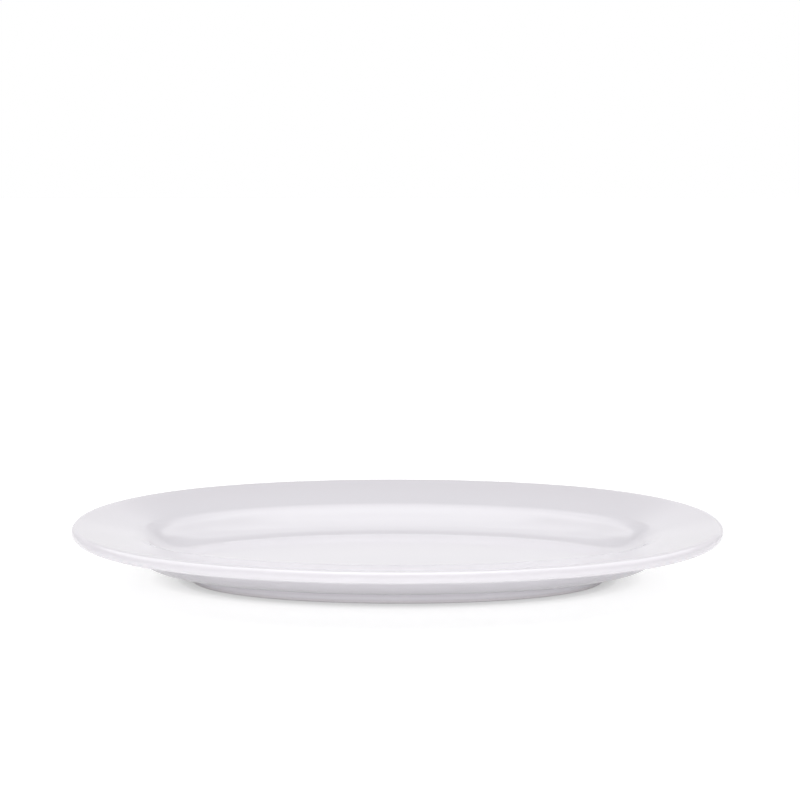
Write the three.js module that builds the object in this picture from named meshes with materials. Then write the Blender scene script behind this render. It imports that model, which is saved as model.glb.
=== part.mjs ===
// Oval serving platter in glazed porcelain, built up as it is made: one pressed and fired clay body,
// a glaze coat over all that shows, and a patch of glaze inside the foot ring. The foot's bearing
// edge is wiped bare, so the two glazes never meet. Millimetres, +Z up, +X along the platter, and
// the foot stands on z = 0.

import * as THREE from 'three';

// Overall sizes of the finished platter
const LENGTH = 360;
const WIDTH = 240;
const HEIGHT = 31.5;
const SPINE_INSET = 79; // how far inside the edge the oval is a true ellipse

// Glaze
const GLAZE = 0.3;
const GLAZE_LINE = 1.6; // height up to which the foot ring is wiped bare

// Rim: a wide flange that ends in a fully rounded lip
const FLANGE_WIDTH = 47.5; // edge to the corner of the shoulder, at the long sides
const END_FLANGE_WIDTH = 38.5; // the same at the two ends
const FLANGE_PITCH = 9; // degrees
const LIP_THICKNESS = 5.8;

// Well: shoulder, wall and flat floor
const SHOULDER_RADIUS = 22;
const WALL_PITCH = 40; // degrees
const WELL_RADIUS = 34;
const FLOOR_HEIGHT = 12.4; // table to the top of the clay
const FLOOR_THICKNESS = 6;

// Underside: knee below the flange, rounded belly and base
const UNDERSIDE_PITCH = 9; // degrees
const KNEE_RADIUS = 8;
const BELLY_PITCH = 60; // degrees
const BELLY_RADIUS = 14;
const BELLY_END_SHIFT = 6; // how much further out the belly reaches at the two ends
const BASE_OVERHANG = 18; // foot's outer face to the corner of the belly
const BASE_PITCH = 10; // degrees

// Foot ring
const FOOT_INSET = 60.2; // edge to the foot's outer face
const FOOT_HEIGHT = 6.2;
const FOOT_WIDTH = 5;
const FOOT_DRAFT = 7; // degrees
const FOOT_EDGE_RADIUS = 0.9;
const FOOT_ROOT_RADIUS = 1.2;
const RECESS_RADIUS = 2.6;

// Faceting
const FACETS = 60; // around the oval
const CHORD_ERROR = 0.12; // along the section

const tan = (degrees) => Math.tan(THREE.MathUtils.degToRad(degrees));
const point = (out, z) => new THREE.Vector2(out, z);

// The section is drawn in a plane square to the edge: x is the distance outwards from the finished
// edge, so it is negative inside, and y is the height. It runs from the middle of the floor out to
// the lip and back below to the middle of the recess, so that the outside is always on its left.
function sectionCorners() {
  const edge = -GLAZE;
  const lipRadius = LIP_THICKNESS / 2;
  const lipMiddle = HEIGHT - GLAZE - lipRadius;
  const lipTop = point(edge, lipMiddle + lipRadius * tan(45 + FLANGE_PITCH / 2));
  const lipBottom = point(edge, lipMiddle - lipRadius * tan(45 - UNDERSIDE_PITCH / 2));

  const shoulderDrop = (FLANGE_WIDTH - GLAZE) * tan(FLANGE_PITCH);
  const shoulder = point(-FLANGE_WIDTH, lipTop.y - shoulderDrop);
  const wallRun = (shoulder.y - FLOOR_HEIGHT) / tan(WALL_PITCH);
  const wallFoot = point(shoulder.x - wallRun, FLOOR_HEIGHT);
  const endShift = FLANGE_WIDTH - END_FLANGE_WIDTH; // the well reaches further out at the ends

  const footOut = -FOOT_INSET;
  const footIn = footOut - FOOT_WIDTH;
  const footRoot = point(footOut + FOOT_HEIGHT * tan(FOOT_DRAFT), FOOT_HEIGHT);
  const belly = point(footOut + BASE_OVERHANG, FOOT_HEIGHT + BASE_OVERHANG * tan(BASE_PITCH));
  const recessHeight = FLOOR_HEIGHT - FLOOR_THICKNESS;
  const recess = point(footIn - recessHeight * tan(FOOT_DRAFT), recessHeight);

  // The knee is where the flange's underside meets the belly's outer wall
  const kneeRun = lipBottom.y - belly.y + (belly.x - edge) * tan(UNDERSIDE_PITCH);
  const kneeOut = belly.x + kneeRun / (tan(BELLY_PITCH) - tan(UNDERSIDE_PITCH));
  const knee = point(kneeOut, lipBottom.y + (kneeOut - edge) * tan(UNDERSIDE_PITCH));

  return [
    { name: 'wallFoot', at: wallFoot, radius: WELL_RADIUS, endShift },
    { name: 'shoulder', at: shoulder, radius: SHOULDER_RADIUS, endShift },
    { name: 'lipTop', at: lipTop, radius: lipRadius },
    { name: 'lipBottom', at: lipBottom, radius: lipRadius },
    { name: 'knee', at: knee, radius: KNEE_RADIUS, endShift: BELLY_END_SHIFT },
    { name: 'belly', at: belly, radius: BELLY_RADIUS, endShift: BELLY_END_SHIFT },
    { name: 'footRoot', at: footRoot, radius: FOOT_ROOT_RADIUS },
    { name: 'footOuter', at: point(footOut, 0), radius: FOOT_EDGE_RADIUS },
    { name: 'footInner', at: point(footIn, 0), radius: FOOT_EDGE_RADIUS },
    { name: 'recess', at: recess, radius: RECESS_RADIUS },
  ];
}

// Rounds every corner of the section with an arc and gives each arc's points with their outward
// normals. A radius shrinks only where two arcs would not fit on the line between them.
function roundedArcs(corners) {
  const middle = -WIDTH / 2;
  const first = point(middle, corners[0].at.y);
  const last = point(middle, corners.at(-1).at.y);
  const stops = [first, ...corners.map((corner) => corner.at), last];
  const lines = stops.slice(1).map((stop, k) => stop.clone().sub(stops[k]));

  const turns = corners.map((corner, k) => {
    const turn = lines[k + 1].angle() - lines[k].angle();
    return Math.atan2(Math.sin(turn), Math.cos(turn));
  });
  const reach = corners.map((corner, k) => corner.radius * Math.tan(Math.abs(turns[k]) / 2));
  const fitOn = (k) => lines[k].length() / ((reach[k - 1] ?? 0) + (reach[k] ?? 0));

  const arcs = {};
  corners.forEach((corner, k) => {
    const radius = corner.radius * Math.min(1, fitOn(k), fitOn(k + 1));
    const back = radius * Math.tan(Math.abs(turns[k]) / 2);
    const start = corner.at.clone().addScaledVector(lines[k].clone().normalize(), -back);
    const side = turns[k] < 0 ? 1 : -1; // convex corners turn right, hollow ones turn left
    const normalAt = (share) => {
      const heading = lines[k].angle() + turns[k] * share;
      return point(-Math.sin(heading), Math.cos(heading));
    };
    const centre = start.clone().addScaledVector(normalAt(0), -side * radius);
    const step = 2 * Math.acos(1 - CHORD_ERROR / Math.max(radius, 4 * CHORD_ERROR));
    const count = Math.max(2, Math.ceil(Math.abs(turns[k]) / step));
    arcs[corner.name] = Array.from({ length: count + 1 }, (_, j) => {
      const normal = normalAt(j / count);
      const at = centre.clone().addScaledVector(normal, side * radius);
      return { at, normal, endShift: corner.endShift ?? 0 };
    });
  });
  arcs.lipTop.pop(); // it ends where lipBottom starts
  return arcs;
}

// The point at the glaze line on the straight face between two arcs of the foot ring
function glazeLinePoint(before, after) {
  const from = before.at(-1);
  const to = after[0];
  const share = (GLAZE_LINE - from.at.y) / (to.at.y - from.at.y);
  return { at: from.at.clone().lerp(to.at, share), normal: from.normal, endShift: 0 };
}

// A point of the section carried round to one angle of the oval. The spine is an ellipse and every
// other ring runs parallel to it, except that the well and the belly move outwards towards the ends.
function onOval({ at, endShift }, angle) {
  const a = LENGTH / 2 - SPINE_INSET;
  const b = WIDTH / 2 - SPINE_INSET;
  const spine = new THREE.Vector3(a * Math.cos(angle), b * Math.sin(angle), at.y);
  const outward = new THREE.Vector3(Math.cos(angle) / a, Math.sin(angle) / b, 0).normalize();
  return spine.addScaledVector(outward, SPINE_INSET + at.x + endShift * outward.x ** 2);
}

// Sweeps an open section round the oval and closes it in the middle above and below. Each facet is
// split from its inner ring to its outer one, so that clay and glaze share the same triangles.
function sweptSolid(section) {
  const positions = [];
  for (const stop of section) {
    for (let j = 0; j < FACETS; j += 1) {
      positions.push(...onOval(stop, (2 * Math.PI * j) / FACETS).toArray());
    }
  }
  const startPole = section.length * FACETS;
  const endPole = startPole + 1;
  positions.push(0, 0, section[0].at.y, 0, 0, section.at(-1).at.y);

  const faces = [];
  const lastRing = startPole - FACETS;
  for (let j = 0; j < FACETS; j += 1) {
    const next = (j + 1) % FACETS;
    faces.push(startPole, j, next);
    for (let k = 1; k < section.length; k += 1) {
      const [a, b] = [(k - 1) * FACETS + j, (k - 1) * FACETS + next];
      const [c, d] = [a + FACETS, b + FACETS];
      const goesOut = section[k].at.x > section[k - 1].at.x;
      faces.push(...(goesOut ? [a, c, d, a, d, b] : [a, c, b, c, d, b]));
    }
    faces.push(endPole, lastRing + next, lastRing + j);
  }

  const geometry = new THREE.BufferGeometry();
  geometry.setAttribute('position', new THREE.Float32BufferAttribute(positions, 3));
  geometry.setIndex(faces);
  geometry.computeVertexNormals();
  return geometry;
}

// The glaze's outer surface over a stretch of clay
function glazeSurface(stretch) {
  return stretch.map((stop) => ({ ...stop, at: stop.at.clone().addScaledVector(stop.normal, GLAZE) }));
}

const arcs = roundedArcs(sectionCorners());

// The three stretches of the body's surface: glazed outside, bare bearing edge, glazed recess
const outside = [
  ...arcs.wallFoot,
  ...arcs.shoulder,
  ...arcs.lipTop,
  ...arcs.lipBottom,
  ...arcs.knee,
  ...arcs.belly,
  ...arcs.footRoot,
  glazeLinePoint(arcs.footRoot, arcs.footOuter),
];
const bearing = [...arcs.footOuter, ...arcs.footInner];
const recess = [glazeLinePoint(arcs.footInner, arcs.recess), ...arcs.recess];

function porcelainBody() {
  return sweptSolid([...outside, ...bearing, ...recess]);
}

// From the middle of the well over the lip to the foot, with the clay as its inner side
function glazeCoat() {
  return sweptSolid([...glazeSurface(outside), ...outside.toReversed()]);
}

// The recess under the floor, seen from below as a shallow oval dish
function baseGlaze() {
  return sweptSolid([...recess.toReversed(), ...glazeSurface(recess)]);
}

const biscuit = new THREE.MeshStandardMaterial({ color: 0xebe7e0, roughness: 0.75, metalness: 0 });
const gloss = new THREE.MeshStandardMaterial({ color: 0xf4f2f5, roughness: 0.08, metalness: 0 });

function subPart(name, geometry, material) {
  const mesh = new THREE.Mesh(geometry, material);
  mesh.name = name;
  return mesh;
}

const platter = new THREE.Group();
platter.add(
  subPart('porcelain_body', porcelainBody(), biscuit),
  subPart('glaze_coat', glazeCoat(), gloss),
  subPart('base_glaze', baseGlaze(), gloss.clone()),
);

export default platter;
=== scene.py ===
import math

import bpy
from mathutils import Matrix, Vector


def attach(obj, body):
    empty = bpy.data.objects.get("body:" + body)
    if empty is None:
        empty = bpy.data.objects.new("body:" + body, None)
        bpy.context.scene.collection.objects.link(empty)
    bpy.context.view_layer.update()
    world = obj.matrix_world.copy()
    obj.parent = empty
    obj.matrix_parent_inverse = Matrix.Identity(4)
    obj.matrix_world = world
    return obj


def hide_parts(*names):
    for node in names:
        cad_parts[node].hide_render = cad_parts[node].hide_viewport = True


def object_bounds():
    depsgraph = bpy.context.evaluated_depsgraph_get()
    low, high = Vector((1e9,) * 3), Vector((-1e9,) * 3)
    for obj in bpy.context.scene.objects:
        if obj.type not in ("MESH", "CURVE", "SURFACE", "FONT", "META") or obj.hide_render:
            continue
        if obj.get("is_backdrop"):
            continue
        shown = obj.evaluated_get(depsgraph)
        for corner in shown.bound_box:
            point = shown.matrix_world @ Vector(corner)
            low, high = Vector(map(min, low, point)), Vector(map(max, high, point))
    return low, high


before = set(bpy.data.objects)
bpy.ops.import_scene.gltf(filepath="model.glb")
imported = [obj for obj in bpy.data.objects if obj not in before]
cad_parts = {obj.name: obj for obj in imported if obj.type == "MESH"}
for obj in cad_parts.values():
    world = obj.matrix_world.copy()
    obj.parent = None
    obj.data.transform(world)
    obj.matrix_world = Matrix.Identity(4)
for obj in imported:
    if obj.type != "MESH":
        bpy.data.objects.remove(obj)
cad_low, cad_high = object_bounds()

# Porcelain body
# The platter itself: one piece of white porcelain clay, pressed between a mould and a profile tool,
# trimmed at the foot and fired hard. Only its foot's bearing edge stays bare; the glaze covers the
# rest. It carries both glazes, which are fused to it.

# Sizes in millimetres, the same as the solids have but for two end shifts
MM = 0.001
LENGTH, WIDTH, HEIGHT = ((high - low) / MM for low, high in zip(cad_low, cad_high))
SPINE_INSET = 79  # how far inside the edge the oval is a true ellipse
GLAZE = 0.3
GLAZE_LINE = 1.6  # height up to which the foot ring is wiped bare

FLANGE_WIDTH = 47.5  # at the long sides
END_FLANGE_WIDTH = 38.5  # at the two ends, where the well reaches further out
FLANGE_PITCH = 9  # degrees, like the other pitches
LIP_THICKNESS = 5.8

SHOULDER_RADIUS = 22
WALL_PITCH = 40
WELL_RADIUS = 34
FLOOR_HEIGHT = 12.4
FLOOR_THICKNESS = 6

UNDERSIDE_PITCH = 9
KNEE_RADIUS = 8
BELLY_PITCH = 60
BELLY_RADIUS = 14
BELLY_END_SHIFT = 4  # further out at the two ends as well, 2 less than in the solids
BASE_OVERHANG = 18
BASE_PITCH = 10

FOOT_INSET = 60.2
FOOT_END_SHIFT = -5  # further in at the two ends, where the solids' foot keeps its inset
FOOT_HEIGHT = 6.2
FOOT_WIDTH = 5
FOOT_DRAFT = 7
FOOT_EDGE_RADIUS = 0.9
FOOT_ROOT_RADIUS = 1.2
RECESS_RADIUS = 2.6

AROUND = 240  # steps round the oval
TURN_STEP = 3  # degrees between two points of a rounded corner
STRAIGHT_STEP = 4  # millimetres between two points of a straight stretch
MIDDLE_RINGS = 9  # from the flat floor's edge in to its middle
SAME_POINT = 0.01  # millimetres, under which two points of the section are one
MERGE_GAP = 0.002  # the same for the points of the spun mesh
SHARP_EDGE = 50  # degrees between two faces from which their edge isn't smoothed
# the deep end of this depth also stands for painted shade at the foot's root and on the belly
EVEN_GLAZE = 0.5  # the glaze's depth on a plain stretch, from 0 where it is thin to 1 in a pool


def tan(degrees):
    return math.tan(math.radians(degrees))


# The section's corners, from the floor out to the lip and back below to the recess: x, y, radius,
# end shift and glaze depth. x is the distance outwards from the finished edge, so it is negative
# inside, and y is the height. The end shift is how far the corner moves out at the two ends. The
# glaze pools in hollows and thins over edges. The deep pools at the foot's root and on the belly
# also carry painted shade, which darkens the crease under the belly.
edge = -GLAZE
lip_radius = LIP_THICKNESS / 2
lip_middle = HEIGHT - GLAZE - lip_radius
lip_top = lip_middle + lip_radius * tan(45 + FLANGE_PITCH / 2)
lip_bottom = lip_middle - lip_radius * tan(45 - UNDERSIDE_PITCH / 2)
shoulder = lip_top - (FLANGE_WIDTH - GLAZE) * tan(FLANGE_PITCH)
wall_run = (shoulder - FLOOR_HEIGHT) / tan(WALL_PITCH)
end_shift = FLANGE_WIDTH - END_FLANGE_WIDTH
foot_out = -FOOT_INSET
foot_in = foot_out - FOOT_WIDTH
foot_root = foot_out + FOOT_HEIGHT * tan(FOOT_DRAFT)
belly_out = foot_out + BASE_OVERHANG
belly = FOOT_HEIGHT + BASE_OVERHANG * tan(BASE_PITCH)
recess = FLOOR_HEIGHT - FLOOR_THICKNESS
recess_out = foot_in - recess * tan(FOOT_DRAFT)
knee_rise = lip_bottom - belly + (belly_out - edge) * tan(UNDERSIDE_PITCH)
knee_out = belly_out + knee_rise / (tan(BELLY_PITCH) - tan(UNDERSIDE_PITCH))
knee = lip_bottom + (knee_out - edge) * tan(UNDERSIDE_PITCH)
corners = [
    (-FLANGE_WIDTH - wall_run, FLOOR_HEIGHT, WELL_RADIUS, end_shift, EVEN_GLAZE),
    (-FLANGE_WIDTH, shoulder, SHOULDER_RADIUS, end_shift, 0.35),
    (edge, lip_top, lip_radius, 0, 0.0),
    (edge, lip_bottom, lip_radius, 0, 0.1),
    (knee_out, knee, KNEE_RADIUS, BELLY_END_SHIFT, EVEN_GLAZE),
    # painted shade: the belly and most of all the foot's root take the pooled colour, darkening the
    # crease
    (belly_out, belly, BELLY_RADIUS, BELLY_END_SHIFT, 0.55),
    (foot_root, FOOT_HEIGHT, FOOT_ROOT_RADIUS, FOOT_END_SHIFT, 1.0),
    (foot_out, 0, FOOT_EDGE_RADIUS, FOOT_END_SHIFT, 0.0),
    (foot_in, 0, FOOT_EDGE_RADIUS, FOOT_END_SHIFT, EVEN_GLAZE),
    (recess_out, recess, RECESS_RADIUS, FOOT_END_SHIFT, 1.0),
]


def rounded_section(corners):
    """Rounds each corner with an arc. A stop is (x, y, way out of the clay, end shift, glaze)."""
    points = [(-WIDTH / 2, corners[0][1]), *[c[:2] for c in corners], (-WIDTH / 2, corners[-1][1])]
    runs = [(b[0] - a[0], b[1] - a[1]) for a, b in zip(points, points[1:])]
    headings = [math.atan2(y, x) for x, y in runs]
    stops = []
    for corner, before, after in zip(corners, headings, headings[1:]):
        x, y, radius, shift, glaze = corner
        turn = math.remainder(after - before, math.tau)
        back = radius * math.tan(abs(turn) / 2)
        side = -math.copysign(1, turn)  # the body bulges where the section turns right
        start_x = x - back * math.cos(before)
        start_y = y - back * math.sin(before)
        centre_x = start_x + side * radius * math.sin(before)
        centre_y = start_y - side * radius * math.cos(before)
        count = max(2, math.ceil(math.degrees(abs(turn)) / TURN_STEP))
        for j in range(count + 1):
            heading = before + turn * j / count
            out = (-math.sin(heading), math.cos(heading))
            at = (centre_x + side * radius * out[0], centre_y + side * radius * out[1])
            if stops and math.dist(at, stops[-1][:2]) < SAME_POINT:
                continue
            stops.append((*at, out, shift, glaze))
    return stops


def with_straights(stops):
    """Puts points along the straight stretches between the arcs."""
    filled = stops[:1]
    for a, b in zip(stops, stops[1:]):
        count = max(1, math.ceil(math.dist(a[:2], b[:2]) / STRAIGHT_STEP))
        for j in range(1, count + 1):
            share = j / count
            x, y, shift, glaze = (a[k] + (b[k] - a[k]) * share for k in (0, 1, 3, 4))
            out = a[2] if j < count else b[2]
            filled.append((x, y, out, shift, glaze))
    return filled


class Ring:
    """One point of a section, carried round the oval."""

    def __init__(self, x, y, shift, glaze, share=1):
        self.x, self.y, self.shift, self.glaze, self.share = x, y, shift, glaze, share


def turned_to_oval(name, stops):
    """Draws a section point by point, spins it into a round piece and draws that out to the oval.
    A stop is (x, y, end shift, glaze, share), and share leads the flat middles in to the centre."""
    rings = [Ring(*stop) for stop in stops]
    bpy.ops.object.select_all(action="DESELECT")
    bpy.ops.mesh.primitive_plane_add(size=MM)
    piece = bpy.context.object
    piece.name = piece.data.name = name
    bpy.ops.object.mode_set(mode="EDIT")
    bpy.ops.mesh.select_all(action="SELECT")
    bpy.ops.mesh.merge(type="CENTER")
    drawn = [((WIDTH / 2 + r.x) * r.share * MM, r.y * MM) for r in rings]
    bpy.ops.transform.translate(value=(drawn[0][0], 0, drawn[0][1]))
    for a, b in zip(drawn, drawn[1:]):
        step = (b[0] - a[0], 0, b[1] - a[1])
        bpy.ops.mesh.extrude_region_move(TRANSFORM_OT_translate={"value": step})
    bpy.ops.object.mode_set(mode="OBJECT")
    ring_of = piece.data.attributes.new("ring", "INT", "POINT")
    for vertex, ring_value in zip(piece.data.vertices, ring_of.data):
        at = (vertex.co.x, vertex.co.z)
        ring_value.value = min(range(len(drawn)), key=lambda k: math.dist(drawn[k], at))
    bpy.ops.object.mode_set(mode="EDIT")
    bpy.ops.mesh.select_all(action="SELECT")
    bpy.ops.mesh.spin(steps=AROUND, angle=math.tau, center=(0, 0, 0), axis=(0, 0, 1))
    bpy.ops.mesh.select_all(action="SELECT")
    bpy.ops.mesh.remove_doubles(threshold=MERGE_GAP * MM)
    bpy.ops.mesh.normals_make_consistent(inside=False)
    bpy.ops.object.mode_set(mode="OBJECT")

    mesh = piece.data
    # glaze depth, whose pools also carry painted shade in the crease under the belly
    depth = mesh.attributes.new("glaze_depth_and_crease_shade", "FLOAT", "POINT")
    a = LENGTH / 2 - SPINE_INSET
    b = WIDTH / 2 - SPINE_INSET
    ring_of = mesh.attributes["ring"]
    for vertex, ring_value, depth_value in zip(mesh.vertices, ring_of.data, depth.data):
        ring = rings[ring_value.value]
        faces = math.atan2(vertex.co.y, vertex.co.x)  # the way the edge faces there
        c, s = math.cos(faces), math.sin(faces)
        spine = math.hypot(a * c, b * s)
        reach = SPINE_INSET + ring.x + ring.shift * c * c
        vertex.co.x = (a * a * c / spine + reach * c) * ring.share * MM
        vertex.co.y = (b * b * s / spine + reach * s) * ring.share * MM
        vertex.co.z = ring.y * MM
        depth_value.value = ring.glaze
    mesh.attributes.remove(mesh.attributes["ring"])
    bpy.ops.object.shade_smooth_by_angle(angle=math.radians(SHARP_EDGE))
    return piece


def middle(stop, thickness=0):
    """The flat stretch from the centre out to a stop, without that stop."""
    x, y, out, shift, glaze = stop
    shares = [j / MIDDLE_RINGS for j in range(MIDDLE_RINGS)]
    return [(x, y + out[1] * thickness, shift, glaze, share) for share in shares]


def surface(stops, thickness=0):
    """The stops of one surface, moved out of the clay by the glaze's thickness."""
    return [
        (x + out[0] * thickness, y + out[1] * thickness, shift, glaze)
        for x, y, out, shift, glaze in stops
    ]


section = with_straights(rounded_section(corners))
lowest_outside = next(k for k, s in enumerate(section) if s[1] < GLAZE_LINE)
first_recess = next(k for k, s in enumerate(section) if k > lowest_outside and s[1] > GLAZE_LINE)
outside = section[:lowest_outside]
inside = section[first_recess:]

body = turned_to_oval(
    "platter_body",
    [*middle(section[0]), *surface(section), *reversed(middle(section[-1]))],
)


def colour(code):
    """An sRGB hex colour as linear values."""
    shares = [int(code[k : k + 2], 16) / 255 for k in (1, 3, 5)]
    return (*[s / 12.92 if s <= 0.04045 else ((s + 0.055) / 1.055) ** 2.4 for s in shares], 1)


def add_node(tree, kind, inputs, **settings):
    """Adds a node with its settings, and sets or links each of its inputs."""
    node = tree.nodes.new(kind)
    for name, value in settings.items():
        setattr(node, name, value)
    for socket, value in inputs.items():
        if isinstance(value, bpy.types.NodeSocket):
            tree.links.new(value, node.inputs[socket])
        else:
            node.inputs[socket].default_value = value
    return node


def per_mm(size):
    """A texture's scale for a pattern whose features are that many millimetres across."""
    return 1 / (size * MM)


# Bare fired porcelain, ground flat where the platter stands: a dry white, duller than the glaze,
# with a fine grit, and with a faint grey rub on the edge that slides over tables.
BISCUIT_WHITE = "#d4d0d3"
BISCUIT_RUB = "#bfbbbd"
BISCUIT_ROUGHNESS = 0.75
PORCELAIN_IOR = 1.5  # the glaze's as well
GRIT_SIZE = 0.5  # millimetres across, drawn coarser than it is so that it shows
GRIT_DEPTH = 0.03
RUB_PATCH = 9  # millimetres across
RUB_HEIGHT = 0.7  # how far above the table the rub ends
biscuit = bpy.data.materials.new("bare_fired_porcelain")
biscuit.use_nodes = True
tree = biscuit.node_tree
tree.nodes.clear()
place = add_node(tree, "ShaderNodeTexCoord", {}).outputs["Object"]
grit = add_node(
    tree,
    "ShaderNodeTexNoise",
    {"Vector": place, "Scale": per_mm(GRIT_SIZE), "Detail": 3.0, "Roughness": 0.6},
)
rub_patches = add_node(
    tree, "ShaderNodeTexNoise", {"Vector": place, "Scale": per_mm(RUB_PATCH), "Detail": 2.0}
)
height = add_node(tree, "ShaderNodeSeparateXYZ", {"Vector": place}).outputs["Z"]
near_table = add_node(
    tree,
    "ShaderNodeMapRange",
    {"Value": height, "From Min": RUB_HEIGHT * MM, "From Max": 0.0, "To Min": 0.0, "To Max": 1.0},
)
rub = add_node(
    tree,
    "ShaderNodeMath",
    {0: near_table.outputs["Result"], 1: rub_patches.outputs["Fac"]},
    operation="MULTIPLY",
)
shade = add_node(
    tree,
    "ShaderNodeMix",
    {0: rub.outputs[0], 6: colour(BISCUIT_WHITE), 7: colour(BISCUIT_RUB)},
    data_type="RGBA",
)
grain = add_node(
    tree,
    "ShaderNodeBump",
    {"Strength": 0.6, "Distance": GRIT_DEPTH * MM, "Height": grit.outputs["Fac"]},
)
shader = add_node(
    tree,
    "ShaderNodeBsdfPrincipled",
    {
        "Base Color": shade.outputs[2],
        "Roughness": BISCUIT_ROUGHNESS,
        "IOR": PORCELAIN_IOR,
        "Normal": grain.outputs["Normal"],
    },
)
add_node(tree, "ShaderNodeOutputMaterial", {"Surface": shader.outputs["BSDF"]})
body.data.materials.append(biscuit)
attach(body, "root")
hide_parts("porcelain_body")

# Glaze coat
# A clear gloss glaze, dipped on before the last firing and fused to the clay: over the well, the
# flange and the lip, and down the underside to the foot. A sponge wipes it off the foot's edge,
# where it ends in a rolled bead.
GLAZE_ROLL = 0.6  # how far above the glaze line it has its full thickness
ROLL_STEPS = 6


def cut_at_line(a, b):
    """The stop at the glaze line between two stops of the foot ring."""
    share = (GLAZE_LINE - a[1]) / (b[1] - a[1])
    return (a[0] + (b[0] - a[0]) * share, GLAZE_LINE, a[2], FOOT_END_SHIFT, EVEN_GLAZE)


def rolled_end(full, line):
    """The bead from a stop where the glaze is thick, down to nothing at the line."""
    rise = full[1] - line[1]
    bead = []
    for j in range(ROLL_STEPS + 1):
        turn = math.pi / 2 * (1 - j / ROLL_STEPS)
        share = GLAZE_ROLL * (1 - math.cos(turn)) / rise
        x = line[0] + (full[0] - line[0]) * share + line[2][0] * GLAZE * math.sin(turn)
        y = line[1] + rise * share + line[2][1] * GLAZE * math.sin(turn)
        bead.append((x, y, FOOT_END_SHIFT, line[4]))
    return bead


outer_line = cut_at_line(section[lowest_outside - 1], section[lowest_outside])
coat = turned_to_oval(
    "glaze_coat_gloss",
    [
        *middle(outside[0], GLAZE),
        *surface(outside, GLAZE),
        *rolled_end(outside[-1], outer_line),
        *reversed(surface(outside)),
        *reversed(middle(outside[0])),
    ],
)

# Clear gloss glaze over white porcelain: a cool white that mirrors the room softly. It is a shade
# deeper in its pools, and that deeper colour is also painted shade in the crease at the foot's root
# and on the belly. It is a touch greyer where it ran thin and the clay shows through, and its
# surface is not quite flat, so that reflections waver a little.
GLAZE_WHITE = "#dedbe0"
GLAZE_CLOUD = "#dad8dd"
# pooled glaze, deepened into painted shade for the crease at the foot's root
GLAZE_POOLED_AND_CREASE_SHADE = "#cac7cd"
GLAZE_THIN = "#d9d6db"
THIN_GLAZE = 0.3  # the glaze's depth under which the clay begins to show through
GLOSS_ROUGHNESS = (0.07, 0.11)
CLOUD_SIZE = 70  # millimetres across
CLOUD_SPREAD = (0.3, 0.7)  # what most of the clouds' noise keeps to
RIPPLE_SIZE = 16
RIPPLE_HEIGHT = 0.012
glaze = bpy.data.materials.new("clear_gloss_glaze_on_white_porcelain")
glaze.use_nodes = True
tree = glaze.node_tree
tree.nodes.clear()
place = add_node(tree, "ShaderNodeTexCoord", {}).outputs["Object"]
clouds = add_node(
    tree, "ShaderNodeTexNoise", {"Vector": place, "Scale": per_mm(CLOUD_SIZE), "Detail": 3.0}
)
clouded = add_node(
    tree,
    "ShaderNodeMix",
    {0: clouds.outputs["Fac"], 6: colour(GLAZE_WHITE), 7: colour(GLAZE_CLOUD)},
    data_type="RGBA",
)
depth = add_node(tree, "ShaderNodeAttribute", {}, attribute_name="glaze_depth_and_crease_shade").outputs["Fac"]
# painted shade: the pooled colour darkens the foot's root and the belly, where the crease lies in
# shade
pool_and_crease_shade = add_node(
    tree,
    "ShaderNodeMapRange",
    {"Value": depth, "From Min": EVEN_GLAZE, "From Max": 1.0, "To Min": 0.0, "To Max": 1.0},
)
thinned = add_node(
    tree,
    "ShaderNodeMapRange",
    {"Value": depth, "From Min": THIN_GLAZE, "From Max": 0.0, "To Min": 0.0, "To Max": 1.0},
)
with_pools_and_crease_shade = add_node(
    tree,
    "ShaderNodeMix",
    {0: pool_and_crease_shade.outputs["Result"], 6: clouded.outputs[2], 7: colour(GLAZE_POOLED_AND_CREASE_SHADE)},
    data_type="RGBA",
)
with_edges = add_node(
    tree,
    "ShaderNodeMix",
    {0: thinned.outputs["Result"], 6: with_pools_and_crease_shade.outputs[2], 7: colour(GLAZE_THIN)},
    data_type="RGBA",
)
gloss = add_node(
    tree,
    "ShaderNodeMapRange",
    {
        "Value": clouds.outputs["Fac"],
        "From Min": CLOUD_SPREAD[0],
        "From Max": CLOUD_SPREAD[1],
        "To Min": GLOSS_ROUGHNESS[0],
        "To Max": GLOSS_ROUGHNESS[1],
    },
)
ripples = add_node(
    tree, "ShaderNodeTexNoise", {"Vector": place, "Scale": per_mm(RIPPLE_SIZE), "Detail": 2.0}
)
waver = add_node(
    tree,
    "ShaderNodeBump",
    {"Strength": 1.0, "Distance": RIPPLE_HEIGHT * MM, "Height": ripples.outputs["Fac"]},
)
shader = add_node(
    tree,
    "ShaderNodeBsdfPrincipled",
    {
        "Base Color": with_edges.outputs[2],
        "Roughness": gloss.outputs["Result"],
        "IOR": PORCELAIN_IOR,
        "Normal": waver.outputs["Normal"],
    },
)
add_node(tree, "ShaderNodeOutputMaterial", {"Surface": shader.outputs["BSDF"]})
coat.data.materials.append(glaze)
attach(coat, "root")
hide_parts("glaze_coat")

# Base glaze
# The same glaze, left in the shallow recess inside the foot ring when the foot's edge was wiped. It
# never meets the coat outside, because the bare bearing edge runs between them.
inner_line = cut_at_line(section[first_recess - 1], section[first_recess])
base = turned_to_oval(
    "base_glaze_gloss",
    [
        *middle(inside[-1]),
        *reversed(surface(inside)),
        *reversed(rolled_end(inside[0], inner_line)),
        *surface(inside, GLAZE),
        *reversed(middle(inside[-1], GLAZE)),
    ],
)
base.data.materials.append(glaze)
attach(base, "root")
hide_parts("base_glaze")
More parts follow.
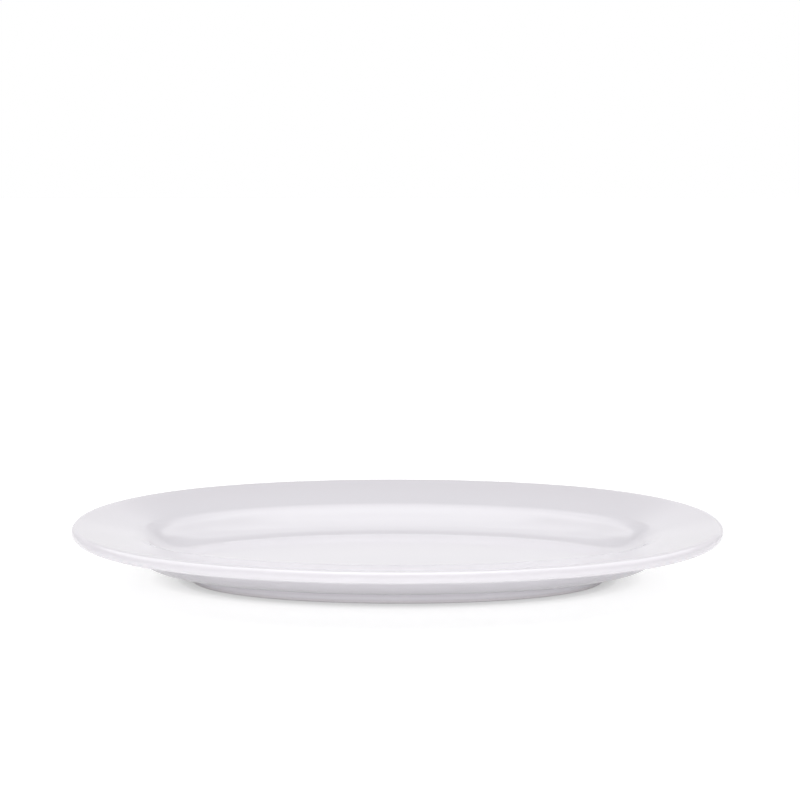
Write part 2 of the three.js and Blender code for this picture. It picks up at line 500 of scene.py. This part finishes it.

# Table
# A matt white studio table that runs back under a white sweep. It is a little less than white to
# the light that it throws back, and the camera and mirrored rays see it white where no shadow lies.
# Beside the foot a painted contact shadow, drawn from ambient occlusion and not cast by the lamps,
# dims that white.
TABLE_SIZE = 6  # metres
WHITE = "#ffffff"
TABLE_WHITE = "#f2f2f2"
TABLE_SEEN = "#a3a3a3"  # what the camera sees of the lamps' light on it
TABLE_GLOW = 0.83  # how white the camera sees it where the lamps don't reach
# the painted contact shadow beside the foot: how dark it gets and how far it reaches
CONTACT_SHADE = 0.3  # what is left of that right beside the foot
CONTACT_REACH = 8  # millimetres from the foot to where that shade ends
bpy.ops.object.select_all(action="DESELECT")
bpy.ops.mesh.primitive_plane_add(size=TABLE_SIZE)
table = bpy.context.object
table.name = "studio_table"
paper = bpy.data.materials.new("matt_white_paper")
paper.use_nodes = True
tree = paper.node_tree
tree.nodes.clear()
matt = add_node(tree, "ShaderNodeBsdfDiffuse", {"Color": colour(TABLE_WHITE)})
seen = add_node(tree, "ShaderNodeBsdfDiffuse", {"Color": colour(TABLE_SEEN)})
# painted contact shadow: ambient occlusion near the foot dims the table's glow
gap = add_node(tree, "ShaderNodeAmbientOcclusion", {"Distance": CONTACT_REACH * MM}, samples=16)
painted_contact_shadow = add_node(
    tree,
    "ShaderNodeMapRange",
    {
        "Value": gap.outputs["AO"],
        "From Min": 0.0,
        "From Max": 1.0,
        "To Min": CONTACT_SHADE * TABLE_GLOW,
        "To Max": TABLE_GLOW,
    },
)
glow = add_node(
    tree,
    "ShaderNodeEmission",
    {"Color": colour(WHITE), "Strength": painted_contact_shadow.outputs["Result"]},
)
lit = add_node(tree, "ShaderNodeAddShader", {0: seen.outputs[0], 1: glow.outputs[0]})
rays = add_node(tree, "ShaderNodeLightPath", {})
mirrored = add_node(
    tree,
    "ShaderNodeMath",
    {0: rays.outputs["Is Glossy Ray"], 1: rays.outputs["Is Transmission Ray"]},
    operation="MAXIMUM",
)
direct = add_node(
    tree,
    "ShaderNodeMath",
    {0: rays.outputs["Is Camera Ray"], 1: mirrored.outputs[0]},
    operation="MAXIMUM",
)
mixed = add_node(
    tree, "ShaderNodeMixShader", {0: direct.outputs[0], 1: matt.outputs[0], 2: lit.outputs[0]}
)
add_node(tree, "ShaderNodeOutputMaterial", {"Surface": mixed.outputs[0]})
table.data.materials.append(paper)
table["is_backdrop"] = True

# Studio light
# Soft boxes all round, drawn on the sky: a white sweep low behind the platter with dark above it, a
# large box overhead, boxes at both sides and a low one in front. A card of light, also low in
# front, reaches under the belly.

# Bearings are in degrees from straight behind the platter, the same to the left and the right. A
# box that runs on past straight behind or straight in front starts below 0 or ends above 180.
SOFT_BOXES = [
    # strength, lowest and highest elevation, soft edge, nearest and furthest bearing, soft edge
    (0.80, -3, 16, 2.5, -60, 30, 8),
    (0.64, 16, 26, 3, -60, 30, 8),
    (1.02, 45, 60, 3, -60, 30, 8),
    (0.60, -3, 34, 3, 30, 80, 8),
    (2.00, 34, 60, 3, 30, 80, 8),
    (0.60, -3, 20, 4, 80, 130, 8),
    (0.60, 20, 36, 4, 80, 105, 8),
    (2.00, 36, 60, 4, 80, 105, 8),
    (1.16, 36, 60, 4, 105, 130, 8),
    (0.80, -3, 20, 4, 130, 260, 8),
    (2.54, 60, 75, 3, -60, 90, 8),
    (1.40, 60, 75, 3, 90, 260, 8),
    (4.00, 75, 120, 3, -60, 260, 8),
]
world = bpy.data.worlds.new("studio")
bpy.context.scene.world = world
world.use_nodes = True
tree = world.node_tree
tree.nodes.clear()
way = add_node(tree, "ShaderNodeTexCoord", {}).outputs["Generated"]
parts = add_node(tree, "ShaderNodeSeparateXYZ", {"Vector": way}).outputs
elevation = add_node(tree, "ShaderNodeMath", {0: parts["Z"]}, operation="ARCSINE")
aside = add_node(tree, "ShaderNodeMath", {0: parts["X"]}, operation="ABSOLUTE")
bearing = add_node(
    tree, "ShaderNodeMath", {0: aside.outputs[0], 1: parts["Y"]}, operation="ARCTAN2"
)
total = 0.0
for strength, low, high, soft, near, far, soft_side in SOFT_BOXES:
    fades = [
        add_node(
            tree,
            "ShaderNodeMapRange",
            {
                "Value": angle.outputs[0],
                "From Min": math.radians(start),
                "From Max": math.radians(full),
                "To Min": 0.0,
                "To Max": 1.0,
            },
            interpolation_type="SMOOTHSTEP",
        ).outputs["Result"]
        for angle, start, full in (
            (elevation, low - soft, low + soft),
            (elevation, high + soft, high - soft),
            (bearing, near - soft_side, near + soft_side),
            (bearing, far + soft_side, far - soft_side),
        )
    ]
    level = fades[0]
    for fade in fades[1:]:
        both = add_node(tree, "ShaderNodeMath", {0: level, 1: fade}, operation="MULTIPLY")
        level = both.outputs[0]
    total = add_node(
        tree,
        "ShaderNodeMath",
        {0: level, 1: strength, 2: total},
        operation="MULTIPLY_ADD",
    ).outputs[0]
boxes = add_node(tree, "ShaderNodeBackground", {"Color": colour(WHITE), "Strength": total})
white = add_node(tree, "ShaderNodeBackground", {"Color": colour(WHITE), "Strength": 1.0})
rays = add_node(tree, "ShaderNodeLightPath", {})
sky = add_node(
    tree,
    "ShaderNodeMixShader",
    {0: rays.outputs["Is Camera Ray"], 1: boxes.outputs[0], 2: white.outputs[0]},
)
add_node(tree, "ShaderNodeOutputWorld", {"Surface": sky.outputs[0]})

# The card is long and low, and the glaze doesn't mirror it
FILL_POWER = 4.0  # watts
FILL_SIZE = (1.4, 0.1)  # metres, as is the distance
FILL_DISTANCE = 0.9
fill = bpy.data.lights.new("front_fill", "AREA")
fill.shape = "RECTANGLE"
fill.size, fill.size_y = FILL_SIZE
fill.energy = FILL_POWER
fill_lamp = bpy.data.objects.new("front_fill", fill)
bpy.context.scene.collection.objects.link(fill_lamp)
fill_lamp.location = (0, -FILL_DISTANCE, FILL_SIZE[1] / 2)
fill_lamp.rotation_euler = (math.pi / 2, 0, 0)
fill_lamp.visible_camera = False
fill_lamp.visible_glossy = False
bpy.context.scene.view_settings.view_transform = "Standard"

# Camera
# A long lens a little above the table, in front of the platter and all but square to its length. It
# looks down at the middle of the rim, which stands below the middle of the image.
IMAGE = 800  # pixels each way
FOCAL = 2164  # pixels
DISTANCE = 1.2  # metres
LOOK_DOWN = math.radians(12.48)  # at the middle of the rim
SWING = math.radians(-0.5)  # round to the side from straight in front
RIM_MIDDLE = (397.4, 521.1)  # where the middle of the rim stands in the image
pitch = LOOK_DOWN - math.atan2(RIM_MIDDLE[1] - IMAGE / 2, FOCAL)
sideways = (IMAGE / 2 - RIM_MIDDLE[0]) / FOCAL * DISTANCE
back = -DISTANCE * math.cos(LOOK_DOWN)
lens = bpy.data.cameras.new("camera")
lens.sensor_width = 36
lens.lens = FOCAL / IMAGE * lens.sensor_width
lens.clip_end = 50
camera = bpy.data.objects.new("camera", lens)
bpy.context.scene.collection.objects.link(camera)
camera.location = (
    sideways * math.cos(-SWING) - back * math.sin(-SWING),
    sideways * math.sin(-SWING) + back * math.cos(-SWING),
    DISTANCE * math.sin(LOOK_DOWN) + HEIGHT * MM,
)
camera.rotation_euler = (math.pi / 2 - pitch, 0, -SWING)
bpy.context.scene.camera = camera

low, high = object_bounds()
